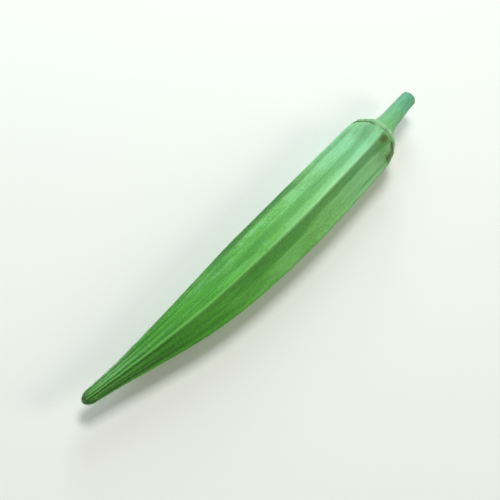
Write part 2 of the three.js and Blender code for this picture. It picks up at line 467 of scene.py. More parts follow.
def relief(along, angle):
    """How far the skin stands out of the plain form, in millimetres."""
    to_ridge, to_middle, half = face_at(angle)
    body, near_ring = body_share(along), ring_share(along)
    foot = mix(FOOT_OF_BODY, FOOT_AT_RING, soft_step(along, FOOT_FROM, FOOT_TO))
    hollow = FOLD_DEPTH * body * (1 - near_ring) * fold(across_face(to_middle, half), foot)
    crest = CREST_HEIGHT * mix(CREST_AT_TIP, 1, body) * (1 - near_ring) * bump(to_ridge, CREST_WIDTH)
    strands = STRAND_HEIGHT * grain(angle, along, STRANDS_ROUND, STRAND_LENGTH)
    swells = SWELL_HEIGHT * body * grain(angle, along, SWELLS_ROUND, SWELL_LENGTH, offset=7)
    wrinkles = WRINKLE_HEIGHT * near_ring * grain(angle, along, WRINKLES_ROUND, WRINKLE_LENGTH, offset=3)
    valleys, beads = tip_relief(along, angle)
    lines = sum(height * line_share(along, angle, *course) for height, *course in LINES)
    total = crest + strands + swells + wrinkles + beads + lines - hollow - valleys
    return soft_step(along, 0, RELIEF_START) * total


print("relief at a face's middle, mm:", round(relief(POD_LENGTH / 2, face_middle), 3))

# %% [markdown]
# ## Raising the skin and laying it down
# A Displace modifier could raise the skin, but it reads one texture and not a sum of forms, so a
# short loop does it. The lowest ridges are flattened where the pod lies on the table, as on the plain
# model: whatever would reach below the table is lifted onto it.

# %% Helpers that raise a skin and lay it down


def place_layers(bm):
    """The layers that hold the distance and the angle of each vertex."""
    return bm.verts.layers.float["along"], bm.verts.layers.float["angle"]


def raise_skin(bm, height_at):
    """Moves each vertex along its own normal, by a height for its place on the pod."""
    along_layer, angle_layer = place_layers(bm)
    bm.normal_update()
    heights = [height_at(v[along_layer], v[angle_layer]) for v in bm.verts]
    for v, height in zip(bm.verts, heights):
        v.co += v.normal * height
    print("raised by, mm:", round(min(heights), 3), "to", round(max(heights), 3))


def lay_down(bm, lift=0.0):
    """Moves a form onto the plain model, flattens what would sink into the table, and sizes it."""
    bmesh.ops.translate(bm, vec=shift, verts=bm.verts)
    for v in bm.verts:
        v.co.z = max(v.co.z, lift)
    bmesh.ops.scale(bm, vec=(MM, MM, MM), verts=bm.verts)
    bmesh.ops.recalc_face_normals(bm, faces=bm.faces)


raise_skin(capsule, relief)

# %% [markdown]
# ## Noting the places for the colours
# The material will need to know the place on the pod, and a pattern in plain space would cut across the
# bowed strands. So the straightened place is kept as an attribute, `lay`: the share of the length, and the
# direction round the pod as a cosine and a sine, which has no seam. How near a ridge, a groove or a stain is
# gets kept too, so that the colours, the painted shade in the grooves among them, fall just where the relief
# does.

# %% Note the places
# The pale width is how far the paleness and painted highlight of a ridge reach.
PALE_WIDTH_AT_TIP, PALE_WIDTH = 6, 3
# The groove and valley darkness set how much painted shade lies in the grooves and in the valleys of the
# tip.
GROOVE_DARKNESS, VALLEY_DARKNESS = 0.8, 1.3


def note_place(bm):
    """Keeps the straightened place of each vertex, and its share of each mark, for the materials."""
    lay = bm.verts.layers.float_vector.new("lay")
    crest, groove_shade, across, stain = [
        bm.verts.layers.float.new(name) for name in ("crest", "groove_shade", "across", "stain")]
    along_layer, angle_layer = place_layers(bm)
    for v in bm.verts:
        along, angle = v[along_layer], v[angle_layer]
        turn = math.radians(angle)
        to_ridge, to_middle, half = face_at(angle)
        pale_width = mix(PALE_WIDTH_AT_TIP, PALE_WIDTH, body_share(along))
        cut = sum(line_share(along, angle, *course) for height, *course in LINES if height < 0)
        valley = 1 - fine_rib(along, angle)
        v[lay] = (along / POD_LENGTH, math.cos(turn), math.sin(turn))
        v[crest] = bump(to_ridge, pale_width) * (1 - ring_share(along))
        v[across] = across_face(to_middle, half)
        v[groove_shade] = min(1, GROOVE_DARKNESS * cut + VALLEY_DARKNESS * valley)
        v[stain] = sum(stain_share(along, angle, *mark) for mark in STAINS)


note_place(capsule)
print("noted for each vertex:", capsule.verts.layers.float.keys() + capsule.verts.layers.float_vector.keys())

# %% [markdown]
# A piece rides on the body of the plain model, by name. The finished skin then replaces the plain capsule.

# %% Make the capsule's skin


def make_piece(bm, name):
    """Turns the bmesh into an object that rides on the body, shaded smooth."""
    print(name, "faces:", len(bm.faces), "open edges:", len(open_edges(bm)))
    mesh = bpy.data.meshes.new(name)
    bm.to_mesh(mesh)
    bm.free()
    mesh.polygons.foreach_set("use_smooth", [True] * len(mesh.polygons))
    piece = bpy.data.objects.new(name, mesh)
    bpy.context.scene.collection.objects.link(piece)
    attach(piece, "root")
    return piece


lay_down(capsule)
pod = make_piece(capsule, "pod_skin")
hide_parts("pod")

# %% [markdown]
# ## The stem and its cap
# The stub of the flower stalk flares into a cap as wide as the capsule. A few extruded rings could
# stand for it, but its flare is one smooth curve, so it is turned like the capsule, from its own
# outline: under the rim, over it, down the hollow flare and along the stub to the cut end, which has a
# softened edge and a small hollow where the pith has dried.

# %% Measures of the stem
STEM_LENGTH = 22
STEM_END_RADIUS = 2.4
SCAR_GAP = 0.3
CUT_EDGE, CUT_EDGE_CORNER = 0.5, 0.15
PITH_RADIUS, PITH_FLOOR_RADIUS, PITH_DEPTH = 0.7, 0.56, 0.6
CAP_FLATNESS, CAP_ROUND_FROM = 0.4, 7
# Radius, and distance past the capsule's end. The first is under the rim, across the gap
CAP_OUTLINE = [
    (7.3, SCAR_GAP), (7.7, 0.8), (7.55, 1.7), (6.4, 2.9), (4.9, 4.2), (3.8, 6),
    (3.15, 8.4), (2.8, 11.5), (2.6, 15.5),
]
STEM_END = POD_LENGTH + STEM_LENGTH
CUT_START = Vector((STEM_END - CUT_EDGE, STEM_END_RADIUS))
CAP_POINTS = [Vector((POD_LENGTH + past, radius)) for radius, past in CAP_OUTLINE]
CAP_POINTS.append(CUT_START)
CUT_POINTS = [
    CUT_START,
    Vector((STEM_END - CUT_EDGE_CORNER, STEM_END_RADIUS - CUT_EDGE_CORNER)),
    Vector((STEM_END, STEM_END_RADIUS - CUT_EDGE)),
    Vector((STEM_END, (STEM_END_RADIUS - CUT_EDGE + PITH_RADIUS) / 2)),
    Vector((STEM_END, PITH_RADIUS)),
    Vector((STEM_END - PITH_DEPTH, PITH_FLOOR_RADIUS)),
    Vector((STEM_END - PITH_DEPTH, 0)),
]
print("stem, mm:", STEM_LENGTH, "long,", 2 * STEM_END_RADIUS, "thick at its cut end")

# %% [markdown]
# The cap starts with the capsule's corners at its rim and is round a little further on. The stub isn't
# as smooth as it is turned: fibres run along it, with faint knobs between them.

# %% Outline and relief of the stem
UNDER_SHARE, CUT_SHARE = 0.08, 0.8
FIBRE_HEIGHT, FIBRES_ROUND, FIBRE_LENGTH = 0.05, 5, 6
KNOB_HEIGHT, KNOBS_ROUND, KNOB_LENGTH = 0.08, 1.6, 3
STEM_RELIEF_FROM, STEM_RELIEF_FULL = POD_LENGTH + 0.5, POD_LENGTH + 2


def stem_outline(share):
    """Distance from the pod's tip and radius, at a share of the outline."""
    if share < UNDER_SHARE:
        rim = CAP_POINTS[0]
        return rim.x, rim.y * share / UNDER_SHARE
    if share < CUT_SHARE:
        return spline(CAP_POINTS, (share - UNDER_SHARE) / (CUT_SHARE - UNDER_SHARE))
    return spline(CUT_POINTS, (share - CUT_SHARE) / (1 - CUT_SHARE))


def stem_share(angle, along):
    """The stem's section: it has corners at the cap's rim, and is round further on."""
    corners = 1 - soft_step(along - POD_LENGTH, 0, CAP_ROUND_FROM)
    return section_share(angle, CAP_FLATNESS * corners, CORD_HEIGHT_AT_RING * corners, CORD_WIDTH, 0)


def stem_relief(along, angle):
    """Fine lengthwise fibres and faint knobs, in millimetres. The rim's underside stays level."""
    fibres = FIBRE_HEIGHT * grain(angle, along, FIBRES_ROUND, FIBRE_LENGTH, offset=1)
    knobs = KNOB_HEIGHT * grain(angle, along, KNOBS_ROUND, KNOB_LENGTH, offset=5)
    return (fibres + knobs) * soft_step(along, STEM_RELIEF_FROM, STEM_RELIEF_FULL)


print("halfway up the stem's outline, mm:", [round(c, 2) for c in stem_outline(0.5)])

# %% Make the stem's skin
STEM_ROWS, STEM_AROUND = 170, 110
stub = turn_outline(stem_outline, STEM_ROWS, STEM_AROUND)
sculpt(stub, stem_share)
raise_skin(stub, stem_relief)
note_place(stub)
lay_down(stub)
stem = make_piece(stub, "stem_skin")
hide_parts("stem")
print("stem box, mm:", [round(c / MM, 2) for c in stem.dimensions])

# %% [markdown]
# ## The scar ring
# Where the calyx dropped off, a thin dark ridge of dried tissue runs round between the capsule and the
# cap. A torus has just this shape, but bmesh has no operator for one. So a small circle is spun round
# the axis and sculpted with the capsule's section, and a noise makes it ragged. Near the top it is worn
# a little lower.

# %% Spin and roughen the ring
SCAR_PLACE, SCAR_RADIUS, SCAR_THICKNESS, SCAR_SIDES, SCAR_LIFT = 125.12, 7.6, 0.27, 8, 0.02
SCAR_ROUGHNESS, SCAR_NOISE_ROUND, SCAR_NOISE_LENGTH = 0.16, 6, 0.8
SCAR_WEAR, SCAR_WORN_AT, SCAR_WORN_REACH = 0.05, 4, 30


def scar_relief(along, angle):
    """The ragged height of the dried ring, in millimetres."""
    rough = SCAR_ROUGHNESS * grain(angle, along, SCAR_NOISE_ROUND, SCAR_NOISE_LENGTH, offset=2)
    return rough - SCAR_WEAR * bump(turned_from(angle, SCAR_WORN_AT), SCAR_WORN_REACH)


ring = bmesh.new()
bmesh.ops.create_circle(ring, segments=SCAR_SIDES, radius=SCAR_THICKNESS, cap_ends=False)
upright = Matrix.Rotation(math.pi / 2, 3, "X")
bmesh.ops.rotate(ring, cent=(0, 0, 0), matrix=upright, verts=ring.verts)
bmesh.ops.translate(ring, vec=(SCAR_PLACE, 0, SCAR_RADIUS), verts=ring.verts)
bmesh.ops.spin(ring, geom=ring.verts[:] + ring.edges[:], cent=(0, 0, 0), axis=(1, 0, 0),
               angle=math.tau, steps=POD_AROUND, use_merge=True)
sculpt(ring, pod_share)
bmesh.ops.recalc_face_normals(ring, faces=ring.faces)
raise_skin(ring, scar_relief)
note_place(ring)
lay_down(ring, SCAR_LIFT)
scar = make_piece(ring, "calyx_scar")

# %% [markdown]
# ## The fuzz
# Okra is covered in stiff little hairs, most of them on the ridges and the tip, and they blur its
# outline. A hair system could grow them, but real geometry stays part of the model wherever it goes.
# Each hair is a three-sided cone that leans towards the tip, with its root sunk into the skin. Cones
# are made in small tufts, since an operator looks through its whole bmesh each time, and the tufts
# are then gathered into one mesh.

# %% Measures of a hair
FUZZ_HAIRS, FUZZ_TUFT, FUZZ_SEED = 20000, 100, 11
HAIR_LENGTH, SHORTEST_HAIR, HAIR_RADIUS, HAIR_SIDES = 0.45, 0.5, 0.035, 3
HAIR_LEAN, HAIR_STRAY = 0.8, 0.35
# A hair's middle stands at this share of its length from the skin, so a tenth of it is sunk in
HAIR_MIDDLE = 0.4
HAIR_VERTICES = HAIR_SIDES + 1
# The chance of a hair on a face, and what a ridge adds to it
FACE_HAIRS, RIDGE_HAIRS = 0.3, 0.7


def hair_matrix(root, normal, chance):
    """Stands a cone on the skin, leaning to the tip and a little at random."""
    stray = Vector([chance.uniform(-HAIR_STRAY, HAIR_STRAY) for axis in range(3)])
    heading = (normal + Vector((-HAIR_LEAN, 0, 0)) + stray).normalized()
    length = HAIR_LENGTH * MM * chance.uniform(SHORTEST_HAIR, 1)
    turn = heading.to_track_quat("Z", "Y").to_matrix().to_4x4()
    middle = Matrix.Translation(root + heading * length * HAIR_MIDDLE)
    return middle @ turn @ Matrix.Scale(length, 4, (0, 0, 1))


print("longest hair, mm:", HAIR_LENGTH, "shortest:", HAIR_LENGTH * SHORTEST_HAIR)

# %% Grow the fuzz


def grow_fuzz(mesh):
    """A bmesh of hairs on the vertices of a skin, more of them on its ridges."""
    chance = random.Random(FUZZ_SEED)
    crests = mesh.attributes["crest"].data
    hairs, tuft_mesh = bmesh.new(), bpy.data.meshes.new("tuft")
    for start in range(0, FUZZ_HAIRS, FUZZ_TUFT):
        tuft = bmesh.new()
        while len(tuft.verts) < HAIR_VERTICES * FUZZ_TUFT:
            root = mesh.vertices[chance.randrange(len(mesh.vertices))]
            resting = root.co.z < HAIR_LENGTH * MM and root.normal.z < 0
            if resting or chance.random() > FACE_HAIRS + RIDGE_HAIRS * crests[root.index].value:
                continue
            bmesh.ops.create_cone(
                tuft, cap_ends=True, segments=HAIR_SIDES, radius1=HAIR_RADIUS * MM, radius2=0,
                depth=1, matrix=hair_matrix(root.co, root.normal, chance))
        tuft.to_mesh(tuft_mesh)
        tuft.free()
        hairs.from_mesh(tuft_mesh)
    bpy.data.meshes.remove(tuft_mesh)
    bmesh.ops.recalc_face_normals(hairs, faces=hairs.faces)
    return hairs


fuzz = make_piece(grow_fuzz(pod.data), "pod_fuzz")
print("hairs:", len(fuzz.data.vertices) // HAIR_VERTICES)

# %% [markdown]
# ## Building materials by name
# Each finish below is a tree of nodes. They could be joined by hand in the shader editor, but a
# script keeps them repeatable. `add` makes one node, sets it, and joins or fills its inputs, so that
# a finish reads from top to bottom like a recipe. Colours are given as they look on screen and turned
# into the light values that a shader works with.

# %% Helpers for nodes


def light(colour):
    """Screen colour, 0 to 1, as the linear RGBA that a shader takes, by the usual screen curve."""
    return [c / 12.92 if c <= 0.04045 else ((c + 0.055) / 1.055) ** 2.4 for c in colour] + [1]


def new_finish(name):
    """A material with its tree and its surface shader."""
    made = bpy.data.materials.new(name)
    made.use_nodes = True
    return made, made.node_tree, made.node_tree.nodes["Principled BSDF"]


def set_all_over(shader, values):
    """Sets what is the same all over a surface, on the shader's own sockets."""
    for socket, value in values.items():
        shader.inputs[socket].default_value = value


def add(tree, kind, inputs=None, **settings):
    """One node: its settings are set, and each input is joined to a socket or filled with a value."""
    node = tree.nodes.new(kind)
    for key, value in settings.items():
        setattr(node, key, value)
    for key, value in (inputs or {}).items():
        if isinstance(value, bpy.types.NodeSocket):
            tree.links.new(value, node.inputs[key])
        else:
            node.inputs[key].default_value = value
    return node


print("middle grey on screen is", round(light((0.5, 0.5, 0.5))[0], 3), "as light")

# %% [markdown]
# A few more words for the recipe: `product` multiplies factors, `rescale` stretches one, and `window`
# cuts a stretch out of one. A window takes two places: where it shows nothing, and where all.

# %% Helpers for factors


def sums(tree, how, a, b=0.0, c=0.0):
    """One step of arithmetic."""
    return add(tree, "ShaderNodeMath", {0: a, 1: b, 2: c}, operation=how).outputs[0]


def product(tree, first, *others):
    """All the factors multiplied, from left to right."""
    for other in others:
        first = sums(tree, "MULTIPLY", first, other)
    return first


def rescale(tree, value, times, plus):
    """A value times one number, plus another."""
    return sums(tree, "MULTIPLY_ADD", value, times, plus)


def window(tree, value, none_at, all_at):
    """0 at the first place and beyond, 1 at the second and beyond, and smooth between."""
    span = {"Value": value, "From Min": none_at, "From Max": all_at}
    return add(tree, "ShaderNodeMapRange", span, interpolation_type="SMOOTHSTEP").outputs[0]


print("words for factors:", [word.__name__ for word in (product, rescale, window)])

# %% [markdown]
# Three words fetch a pattern: `attribute` reads what was noted on the mesh, `stretched_noise` draws a
# noise out along the straightened pod, and `fine_noise` is for what is too small to have a direction.

# %% Helpers for patterns


def attribute(tree, name, output="Fac"):
    """What was noted on the mesh under a name."""
    return add(tree, "ShaderNodeAttribute", attribute_name=name).outputs[output]


def stretched_noise(tree, vector, stretch, scale, detail=3.0, roughness=0.55):
    """Noise drawn out by a stretch along each direction of the vector."""
    drawn = add(tree, "ShaderNodeVectorMath", {0: vector, 1: stretch}, operation="MULTIPLY")
    node = add(tree, "ShaderNodeTexNoise", {
        "Vector": drawn.outputs[0], "Scale": scale, "Detail": detail, "Roughness": roughness})
    return node.outputs["Fac"]


def fine_noise(tree, scale, detail=2.0):
    """Noise as fine as pores and hairs, in the object's own space."""
    surface = add(tree, "ShaderNodeTexCoord").outputs["Object"]
    node = add(tree, "ShaderNodeTexNoise", {"Vector": surface, "Scale": scale, "Detail": detail})
    return node.outputs["Fac"]


print("words for patterns:", [word.__name__ for word in (attribute, stretched_noise, fine_noise)])

# %% [markdown]
# And the words for colours: `ramp` runs through several, `blend` mixes two, `tint` lays one over the
# rest in places, and `shade` darkens and lightens along a pattern. The Mix node has its sockets for
# numbers, vectors and colours side by side, so the ones for colours are found by their place.

# %% Helpers for colours
MIX_FACTOR, MIX_UNDER, MIX_OVER, MIX_RESULT = 0, 6, 7, 2


def ramp(tree, factor, stops):
    """A colour ramp, its stops in order. A colour of four values is taken as light already."""
    node = add(tree, "ShaderNodeValToRGB", {"Fac": factor})
    marks = node.color_ramp.elements
    marks[0].position, marks[1].position = stops[0][0], stops[-1][0]
    for spot, colour in stops[1:-1]:
        marks.new(spot)
    for mark, (spot, colour) in zip(marks, stops):
        mark.color = light(colour) if len(colour) == 3 else colour
    return node.outputs["Color"]


def blend(tree, factor, under, over, how="MIX"):
    """Two colours mixed by a factor."""
    inputs = {MIX_FACTOR: factor, MIX_UNDER: under, MIX_OVER: over}
    return add(tree, "ShaderNodeMix", inputs, data_type="RGBA", blend_type=how).outputs[MIX_RESULT]


def tint(tree, colour, over, where, strength):
    """The colour with another laid over it where a factor is high."""
    return blend(tree, product(tree, where, strength), colour, light(over))


def shade(tree, colour, pattern, greys, strength):
    """The colour darkened and lightened along a pattern."""
    return blend(tree, strength, colour, ramp(tree, pattern, greys), "OVERLAY")


print("words for colours:", [word.__name__ for word in (ramp, blend, tint, shade)])

# %% [markdown]
# ## The skin of the capsule
# Fresh okra is deep green at the tip and pales towards the stem end, where a painted sheen turns it a cool
# mint. Strands streak it lengthwise, the top ridge is paler, partly by a painted highlight, and painted
# shade darkens the grooves at the ridges' feet. Painted shade and painted highlights also set the two sides
# and the folds apart. A picture could be wrapped round the pod, but layers of ramps and noises have no seam
# and stay sharp from close by. They are laid in that order, from the widest change to the smallest speck.

# %% Green from tip to stem end
# The cool mint towards the stem end is partly the skin's own paler green and partly a painted sheen.
GREENS_ALONG = [
    (0.0, (0.16, 0.28, 0.10)), (0.02, (0.37, 0.69, 0.29)), (0.22, (0.27, 0.60, 0.13)),
    (0.42, (0.28, 0.60, 0.15)), (0.6, (0.37, 0.66, 0.27)), (0.78, (0.46, 0.72, 0.42)),
    (0.92, (0.51, 0.77, 0.58)), (1.0, (0.50, 0.72, 0.53)),
]
skin, tree, shader = new_finish("okra_skin")
lay = attribute(tree, "lay", "Vector")
along, to_top, to_side = add(tree, "ShaderNodeSeparateXYZ", {0: lay}).outputs
colour = ramp(tree, along, GREENS_ALONG)
print("greens from the tip to the ring:", len(GREENS_ALONG))

# %% [markdown]
# The strands are a noise that hardly changes along the pod and changes fast round it. Two sizes of
# them, and a mottling that cuts across, darken and lighten the green. The mottling calms down near
# the stem, where the skin is waxy, and the finer strands fade out at both ends.

# %% Strands and mottling
STRAND_GREYS = [(0.3, (0.41, 0.43, 0.39, 1)), (0.7, (0.59, 0.57, 0.59, 1))]
FINE_GREYS = [(0.36, (0.32, 0.36, 0.30, 1)), (0.64, (0.66, 0.64, 0.66, 1))]
MOTTLING_GREYS = [(0.35, (0.32, 0.36, 0.30, 1)), (0.65, (0.66, 0.64, 0.66, 1))]
FINE_STRANDS_FROM, FINE_STRANDS_TO, CALM_FROM = (0.02, 0.14), (0.75, 0.35), (0.6, 0.95)
strands = stretched_noise(tree, lay, (1.2, 1, 1), scale=7.0, detail=2.5, roughness=0.5)
colour = shade(tree, colour, strands, STRAND_GREYS, strength=1.0)
fine_strands = stretched_noise(tree, lay, (0.9, 1, 1), scale=17.0, detail=2.5, roughness=0.5)
streaky = product(tree, window(tree, along, *FINE_STRANDS_FROM), window(tree, along, *FINE_STRANDS_TO))
colour = shade(tree, colour, fine_strands, FINE_GREYS, strength=product(tree, streaky, 0.8))
mottling = stretched_noise(tree, lay, (20, 1, 1), scale=12.0, detail=4.0, roughness=0.65)
calm = window(tree, along, *CALM_FROM)
calmed = rescale(tree, calm, times=-0.5, plus=0.8)
colour = shade(tree, colour, mottling, MOTTLING_GREYS, strength=calmed)
print("nodes with the strands:", len(tree.nodes))

# %% [markdown]
# A thin waxy bloom lies in soft patches on the half towards the stem and makes them paler. A wide noise, cut
# by a window so that only its high places show, gives such patches. Beside the highest side ridge, on the
# side that faces the window lamp, blotchy patches of painted sheen, a painted highlight, are laid over them.
# The attribute `across` runs from 0 at one ridge to 1 at the next.

# %% Patches of waxy bloom, and of painted sheen
BLOOM_AND_HIGHLIGHT_GREEN, SHEEN_PATCH_GREEN = (0.52, 0.79, 0.49), (0.56, 0.84, 0.60)
BLOOM_NOISE, BLOOM_ALONG = (0.48, 0.72), (0.2, 0.55)
SHEEN_PATCH_NOISE, SHEEN_PATCH_ALONG, SHEEN_PATCH_SIDE = (0.4, 0.62), (0.3, 0.5), (-0.2, -0.6)
SHEEN_PATCH_FROM_RIDGE, SHEEN_PATCH_TO_MIDDLE = (0.04, 0.16), (0.46, 0.26)
across = attribute(tree, "across")
bloom = window(tree, stretched_noise(tree, lay, (5, 1, 1), scale=1.7), *BLOOM_NOISE)
bloom = product(tree, bloom, window(tree, along, *BLOOM_ALONG))
colour = tint(tree, colour, BLOOM_AND_HIGHLIGHT_GREEN, where=bloom, strength=0.35)
# Painted sheen: blotchy patches of painted highlight beside the highest side ridge, on the side facing the
# window lamp.
sheen_band = product(tree, window(tree, across, *SHEEN_PATCH_FROM_RIDGE), window(tree, across, *SHEEN_PATCH_TO_MIDDLE),
                window(tree, to_side, *SHEEN_PATCH_SIDE))
sheen_patches = stretched_noise(tree, lay, (7, 1, 1), scale=3.0, detail=4.0, roughness=0.6)
sheen_patches = product(tree, window(tree, sheen_patches, *SHEEN_PATCH_NOISE), window(tree, along, *SHEEN_PATCH_ALONG))
colour = tint(tree, colour, SHEEN_PATCH_GREEN, where=product(tree, sheen_band, sheen_patches), strength=0.4)
print("nodes with the bloom:", len(tree.nodes))

# %% [markdown]
# The two sides of the pod are painted for the light. On the side that faces the window lamp, a painted
# highlight makes the tip paler. On the side away from it, painted shade makes it a deeper green from the tip
# to the middle, and a darker, warmer one at the stem end. The sine of the angle, which is the third part of
# `lay`, tells the sides apart, so no mark on the mesh is needed.

# %% Painted highlight and painted shade on the two sides
PALE_SIDE, PALE_TIP_TO, PALE_TIP_FROM = (0.1, -0.5), (0.17, 0.08), (0.015, 0.04)
DEEP_SHADE_GREEN, DEEP_SIDE, DEEP_TO = (0.12, 0.40, 0.04), (0.05, 0.5), (0.42, 0.2)
WARM_SHADE_GREEN, WARM_SIDE, WARM_FROM = (0.46, 0.69, 0.38), (0.1, 0.6), (0.75, 0.93)
# A painted highlight on the tip, on the side that faces the window lamp.
painted_tip_highlight = product(tree, window(tree, to_side, *PALE_SIDE), window(tree, along, *PALE_TIP_TO),
                   window(tree, along, *PALE_TIP_FROM))
colour = tint(tree, colour, BLOOM_AND_HIGHLIGHT_GREEN, where=painted_tip_highlight, strength=0.4)
# Painted shade on the side away from the window lamp: a deeper green from the tip to the middle.
deeper_shade = product(tree, window(tree, to_side, *DEEP_SIDE), window(tree, along, *DEEP_TO))
colour = tint(tree, colour, DEEP_SHADE_GREEN, where=deeper_shade, strength=0.4)
# Painted shade on the side away from the window lamp: a darker, warmer green at the stem end.
warmer_shade = product(tree, window(tree, to_side, *WARM_SIDE), window(tree, along, *WARM_FROM))
colour = tint(tree, colour, WARM_SHADE_GREEN, where=warmer_shade, strength=0.45)
print("nodes with the two sides:", len(tree.nodes))

# %% [markdown]
# On the side that faces the window lamp, painted shade darkens each face along its fold. On the side away
# from it, the painted shade lies right under the upper ridge of each face instead, in a band that narrows
# towards the stem, and its edge is uneven. Both are windows on the place across the face, and the strands
# shift the band's edge to and fro.

# %% Painted shade along each fold, and a painted shade band under the ridges
FOLD_SHADE_GREEN, BAND_SHADE_GREEN, DARK_ALONG = (0.24, 0.50, 0.22), (0.20, 0.52, 0.14), (0.25, 0.6)
FOLD_START, FOLD_END, FOLD_SIDE = (0.36, 0.56), (0.84, 0.66), (0.2, 0.0)
BAND_EDGE, BAND_SIDE, BAND_NARROWING, NARROWS_UNTIL = (0.5, 0.3), (0.0, 0.2), 1.1, 0.75
on_body = window(tree, along, *DARK_ALONG)
# Painted shade along the fold of each face on the lit side.
fold_shade = product(tree, window(tree, across, *FOLD_START), window(tree, across, *FOLD_END),
                 window(tree, to_side, *FOLD_SIDE))
colour = tint(tree, colour, FOLD_SHADE_GREEN, where=product(tree, fold_shade, on_body), strength=0.4)
widened = rescale(tree, sums(tree, "MINIMUM", along, NARROWS_UNTIL),
                  times=BAND_NARROWING, plus=-BAND_NARROWING * NARROWS_UNTIL)
uneven = rescale(tree, strands, times=0.5, plus=-0.25)
edge = sums(tree, "ADD", sums(tree, "ADD", across, widened), uneven)
# A band of painted shade under the ridge, on the side away from the window lamp.
band_shade = product(tree, window(tree, edge, *BAND_EDGE), window(tree, to_side, *BAND_SIDE), on_body)
colour = tint(tree, colour, BAND_SHADE_GREEN, where=band_shade, strength=0.55)
print("nodes with the folds:", len(tree.nodes))

# %% [markdown]
# The top ridge is paler, partly its own paler colour and partly a painted highlight, and a painted highlight
# lies on the strip beside it. Painted shade darkens the skin beyond the highest side ridge. The grooves come
# last, because they run through every other colour, and painted shade darkens them and the valleys of the
# tip. Where they lie was worked out with the relief, so colour and shape fall together.

# %% A paler top ridge, and a painted highlight beside it
PALE_AND_HIGHLIGHT_GREENS = [
    (0.1, (0.36, 0.68, 0.24)), (0.5, (0.45, 0.72, 0.35)), (0.8, (0.64, 0.86, 0.63)),
    (0.93, (0.58, 0.80, 0.60)), (1.0, (0.48, 0.71, 0.52)),
]
CREST_PALENESS_AND_HIGHLIGHT, STRIP_HIGHLIGHT, HIGHLIGHT_TOWARDS_TOP = 0.8, 0.5, (0.1, 0.9)
STRIP_ACROSS, STRIP_TOP, STRIP_ALONG = (0.76, 0.94), (0.6, 0.95), (0.35, 0.8)
pale = ramp(tree, along, PALE_AND_HIGHLIGHT_GREENS)
# Paleness of the top ridge: partly its own colour, partly a painted highlight where it faces up.
crest = product(tree, attribute(tree, "crest"), window(tree, to_top, *HIGHLIGHT_TOWARDS_TOP), CREST_PALENESS_AND_HIGHLIGHT)
colour = blend(tree, crest, colour, pale)
# A painted highlight on the strip beside the top ridge.
highlight_strip = product(tree, window(tree, across, *STRIP_ACROSS), window(tree, to_top, *STRIP_TOP),
                window(tree, along, *STRIP_ALONG), STRIP_HIGHLIGHT)
colour = blend(tree, highlight_strip, colour, pale)
print("nodes with the ridges:", len(tree.nodes))

# %% Painted shade beyond the side ridge and in the grooves
BEYOND_SHADE_GREEN, GROOVE_SHADE_GREEN = (0.16, 0.42, 0.15), (0.10, 0.32, 0.05)
BEYOND_SIDE, BEYOND_FROM, BEYOND_TO = (-0.94, -0.97), (0.3, 0.5), (0.82, 0.7)
# Painted shade on the skin beyond the highest side ridge.
shade_beyond = product(tree, window(tree, to_side, *BEYOND_SIDE), window(tree, along, *BEYOND_FROM),
                 window(tree, along, *BEYOND_TO))
colour = tint(tree, colour, BEYOND_SHADE_GREEN, where=shade_beyond, strength=0.75)
# Painted shade in the grooves and in the valleys of the tip.
colour = tint(tree, colour, GROOVE_SHADE_GREEN, where=attribute(tree, "groove_shade"), strength=0.82)
print("nodes with the grooves:", len(tree.nodes))

# %% [markdown]
# A few dark specks are scattered over the skin, where it was pricked or rubbed. They could be placed
# one by one, but a Voronoi texture scatters cells evenly and gives each a random colour, so keeping
# only the cells whose colour passes a high mark leaves a few specks.

# %% Specks
SPECK_EDGE, SPECK_GREEN = (0.3, 0.12), (0.11, 0.27, 0.08)


def specks(tree, lay, stretch, scale, rarity):
    """Small spots scattered over the straightened skin: 1 inside a spot and 0 between."""
    drawn = add(tree, "ShaderNodeVectorMath", {0: lay, 1: (stretch, 1, 1)}, operation="MULTIPLY")
    cells = add(tree, "ShaderNodeTexVoronoi", {"Vector": drawn.outputs[0], "Scale": scale})
    draw = add(tree, "ShaderNodeSeparateColor", {0: cells.outputs["Color"]}).outputs[0]
    spot = window(tree, cells.outputs["Distance"], *SPECK_EDGE)
    return product(tree, sums(tree, "GREATER_THAN", draw, rarity), spot)


pricked = specks(tree, lay, stretch=14, scale=7.0, rarity=0.985)
colour = tint(tree, colour, SPECK_GREEN, where=pricked, strength=0.7)
print("nodes with the specks:", len(tree.nodes))

# %% [markdown]
# The shoulder has fine drab creases that run lengthwise, and the stains that were listed and kept as an
# attribute. A noise makes the stains blotchy, so that no two look alike.

# %% The stained shoulder
CREASE_GREEN, STAIN_BROWN = (0.36, 0.52, 0.29), (0.27, 0.39, 0.12)
CREASE_NOISE, CREASE_ALONG = (0.52, 0.68), (0.9, 0.99)
BLOTCH_CONTRAST, STAIN_EDGE = 1.8, (0.1, 0.9)
creases = stretched_noise(tree, lay, (2.5, 1, 1), scale=15.0, detail=4.0, roughness=0.65)
creased = product(tree, window(tree, creases, *CREASE_NOISE), window(tree, along, *CREASE_ALONG))
colour = tint(tree, colour, CREASE_GREEN, where=creased, strength=0.4)
blotches = product(tree, stretched_noise(tree, lay, (50, 1, 1), scale=4.0), BLOTCH_CONTRAST)
stained = window(tree, product(tree, attribute(tree, "stain"), blotches), *STAIN_EDGE)
colour = blend(tree, stained, colour, light(STAIN_BROWN))
tree.links.new(colour, shader.inputs["Base Color"])
print("nodes with the stains:", len(tree.nodes))

# %% [markdown]
# The skin has a soft, slightly velvety shine: short hairs scatter the light that grazes it, and a
# little light passes into the flesh below. Fine bumps come from two noises, one drawn out along the
# strands and one as fine as the pores. Geometry that fine would be far too heavy, so these stay a
# bump. The roughness is the same streaks, read over so wide a span that it only wavers.

